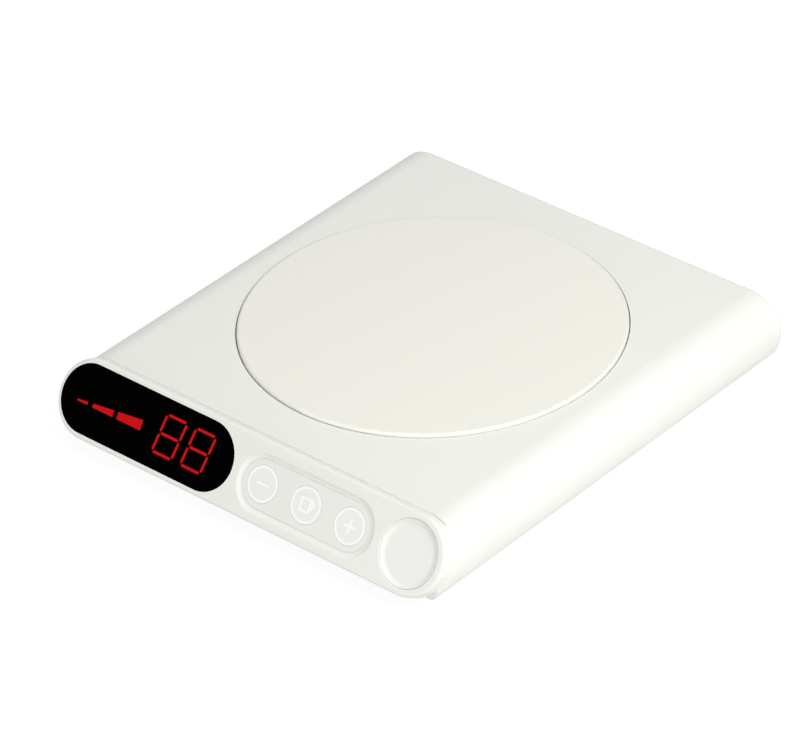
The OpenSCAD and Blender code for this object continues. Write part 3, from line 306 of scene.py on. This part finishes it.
# ---- Coil, capacitors and chip ---------------------------------------------------------------
# On the main board stand a drum coil wound with lacquered wire, two drawn aluminium cans and a
# moulded control chip.

def wire_lines(finish, direction, scale, wander=0.0):
    """Wires laid side by side. The pitch is 0.314 m divided by the scale."""
    wires = finish.node_tree.nodes.new("ShaderNodeTexWave")
    wires.bands_direction = direction
    wires.inputs["Scale"].default_value = scale
    wires.inputs["Distortion"].default_value = wander
    finish.node_tree.links.new(fixed_to_piece(finish), wires.inputs["Vector"])
    return wires.outputs["Fac"]


coil_winding = new_finish("coil_winding", 0.35, specular=0.5)
coil_turns = wire_lines(coil_winding, "Z", 600, wander=0.6)
two_tone(coil_winding, coil_turns, (0.035, 0.033, 0.034), (0.075, 0.06, 0.05))
relief(coil_winding, coil_turns, 0.08, 0.6)
dress(coil_winding, "power_coil")

can_aluminium = new_finish("can_aluminium", 0.3, metallic=1.0)
drawing = (1, 1, 0.1)
two_tone(can_aluminium, speckle(can_aluminium, 0.5, stretch=drawing), (0.66, 0.67, 0.69), (0.78, 0.79, 0.8))
relief(can_aluminium, speckle(can_aluminium, 0.3, stretch=drawing), 0.01)
dress(can_aluminium, "smoothing_capacitors")

chip_epoxy = new_finish("chip_epoxy", 0.55, specular=0.4)
two_tone(chip_epoxy, speckle(chip_epoxy, 0.6), (0.012, 0.012, 0.013), (0.024, 0.024, 0.024))
relief(chip_epoxy, speckle(chip_epoxy, 0.12), 0.012)
dress(chip_epoxy, "power_chip")

# ---- Power inlet -----------------------------------------------------------------------------
# A drawn steel shell stands in a hole in the back wall, with a black contact tongue in its middle.
# It is soldered to the rear edge of the main board.

inlet_steel = new_finish("inlet_steel", 0.25, metallic=1.0)
two_tone(inlet_steel, speckle(inlet_steel, 0.7, stretch=(1, 0.2, 1)), (0.58, 0.59, 0.6), (0.7, 0.7, 0.71))
relief(inlet_steel, speckle(inlet_steel, 0.15, stretch=(1, 0.1, 1)), 0.006)
dress(inlet_steel, "inlet_shell")

tongue_black = new_finish("tongue_black", 0.5, specular=0.4)
two_tone(tongue_black, speckle(tongue_black, 0.5), (0.012, 0.012, 0.012), (0.022, 0.022, 0.022))
relief(tongue_black, speckle(tongue_black, 0.15), 0.01)
dress(tongue_black, "inlet_tongue")

# ---- Ribbon cable ----------------------------------------------------------------------------
# A flat film cable joins the two boards over the base cover. Its tinned wires lie side by side
# under the film, and each end is pushed into a pale moulded socket.

ribbon_film = new_finish("ribbon_film", 0.3, specular=0.5)
ribbon_wires = wire_lines(ribbon_film, "X", 314)
two_tone(ribbon_film, ribbon_wires, (0.75, 0.74, 0.7), (0.42, 0.42, 0.43))
relief(ribbon_film, ribbon_wires, 0.05, 0.6)
dress(ribbon_film, "ribbon_cable")

socket_plastic = new_finish("socket_ivory", 0.5, specular=0.4)
two_tone(socket_plastic, speckle(socket_plastic, 1.2), (0.74, 0.71, 0.62), (0.82, 0.79, 0.7))
relief(socket_plastic, speckle(socket_plastic, 0.3), 0.015)
dress(socket_plastic, "ribbon_sockets")

# ---- Floor and backdrop ----------------------------------------------------------------------
# A plain pale sheet under the object, white to the camera and lightly shaded where the object
# stands. Beyond it the room is the same white.

floor_half = 2.5
floor_mesh = bpy.data.meshes.new("floor")
floor_corners = [(x * floor_half, y * floor_half, 0) for x, y in ((-1, -1), (1, -1), (1, 1), (-1, 1))]
floor_mesh.from_pydata(floor_corners, [], [(0, 1, 2, 3)])
floor = bpy.data.objects.new("floor", floor_mesh)
bpy.context.scene.collection.objects.link(floor)

paper = bpy.data.materials.new("floor_paper")
paper.use_nodes = True
paper_nodes, paper_links = paper.node_tree.nodes, paper.node_tree.links
paper_nodes.remove(paper_nodes["Principled BSDF"])


def seen_directly(nodes, links):
    """1 for rays from the camera, and for those that a gloss or glass passes on."""
    rays = nodes.new("ShaderNodeLightPath")
    either = nodes.new("ShaderNodeMath")
    either.operation = "MAXIMUM"
    links.new(rays.outputs["Is Camera Ray"], either.inputs[0])
    links.new(rays.outputs["Is Glossy Ray"], either.inputs[1])
    any_ray = nodes.new("ShaderNodeMath")
    any_ray.operation = "MAXIMUM"
    links.new(either.outputs[0], any_ray.inputs[0])
    links.new(rays.outputs["Is Transmission Ray"], any_ray.inputs[1])
    return any_ray.outputs[0]


lit_paper = paper_nodes.new("ShaderNodeBsdfDiffuse")
lit_paper.inputs["Color"].default_value = (0.8, 0.8, 0.79, 1)
shaded_paper = paper_nodes.new("ShaderNodeBsdfDiffuse")
shaded_paper.inputs["Color"].default_value = (0.13, 0.13, 0.13, 1)
white_paper = paper_nodes.new("ShaderNodeEmission")
white_paper.inputs["Color"].default_value = (0.92, 0.92, 0.92, 1)
shown_paper = paper_nodes.new("ShaderNodeAddShader")
either_paper = paper_nodes.new("ShaderNodeMixShader")
paper_links.new(shaded_paper.outputs[0], shown_paper.inputs[0])
paper_links.new(white_paper.outputs[0], shown_paper.inputs[1])
paper_links.new(seen_directly(paper_nodes, paper_links), either_paper.inputs[0])
paper_links.new(lit_paper.outputs[0], either_paper.inputs[1])
paper_links.new(shown_paper.outputs[0], either_paper.inputs[2])
paper_links.new(either_paper.outputs[0], paper_nodes["Material Output"].inputs["Surface"])
floor_mesh.materials.append(paper)

# ---- Light -----------------------------------------------------------------------------------
# Soft studio light: an even white room, one large soft lamp at the right that brightens that
# side, and weak ones overhead and at the front that fill the top and the panel.

room_level = 0.4
room = bpy.data.worlds.new("white_room")
room.use_nodes = True
room_nodes, room_links = room.node_tree.nodes, room.node_tree.links
room_light = room_nodes["Background"]
room_light.inputs["Color"].default_value = (1, 1, 1, 1)
room_light.inputs["Strength"].default_value = room_level
room_white = room_nodes.new("ShaderNodeBackground")
room_white.inputs["Color"].default_value = (1, 1, 1, 1)
room_white.inputs["Strength"].default_value = 1  # shown as white
either_room = room_nodes.new("ShaderNodeMixShader")
room_links.new(seen_directly(room_nodes, room_links), either_room.inputs[0])
room_links.new(room_light.outputs[0], either_room.inputs[1])
room_links.new(room_white.outputs[0], either_room.inputs[2])
room_links.new(either_room.outputs[0], room_nodes["World Output"].inputs["Surface"])
bpy.context.scene.world = room


def soft_lamp(name, place, width, height, watts):
    """A large flat lamp that faces the object."""
    lamp = bpy.data.lights.new(name, "AREA")
    lamp.shape = "RECTANGLE"
    lamp.size, lamp.size_y = width, height
    lamp.energy = watts
    holder = bpy.data.objects.new(name, lamp)
    facing = Vector(place).to_track_quat("Z", "Y").to_matrix().to_4x4()
    holder.matrix_world = Matrix.Translation(place) @ facing
    bpy.context.scene.collection.objects.link(holder)


soft_lamp("right_lamp", (0.532, -0.07, 0.448), 0.4, 0.3, 3.1)
soft_lamp("upper_lamp", (0, 0, 0.9), 0.5, 0.5, 1.44)
soft_lamp("front_lamp", (-0.1, -0.9, 0.12), 0.6, 0.4, 1.7)

# ---- Camera ----------------------------------------------------------------------------------
# The photograph's own view, fitted to the edges of the plate, the housing and the panel: from the
# front right and above, with a long lens, and leaning a little.

camera_turn, camera_rise, camera_lean = (math.radians(a) for a in (42.5535, 34.3387, -2.7089))
camera_away = 1.1735
looked_at = Vector((0.00457, -0.00982, 0.01746))
photo_width, focal_length = 805, 5172.8  # in pixels
backwards = Vector((math.sin(camera_turn) * math.cos(camera_rise),
                    -math.cos(camera_turn) * math.cos(camera_rise),
                    math.sin(camera_rise)))
level = (-backwards).cross(Vector((0, 0, 1))).normalized()
upright = level.cross(-backwards)
across = math.cos(camera_lean) * level + math.sin(camera_lean) * upright
upwards = -math.sin(camera_lean) * level + math.cos(camera_lean) * upright
camera_data = bpy.data.cameras.new("photo_camera")
camera_data.sensor_width = 36
camera_data.lens = focal_length * camera_data.sensor_width / photo_width
camera = bpy.data.objects.new("photo_camera", camera_data)
camera_axes = Matrix((across, upwards, backwards)).transposed().to_4x4()
camera.matrix_world = Matrix.Translation(looked_at + camera_away * backwards) @ camera_axes
bpy.context.scene.collection.objects.link(camera)
bpy.context.scene.camera = camera
bpy.context.scene.view_settings.view_transform = "Standard"
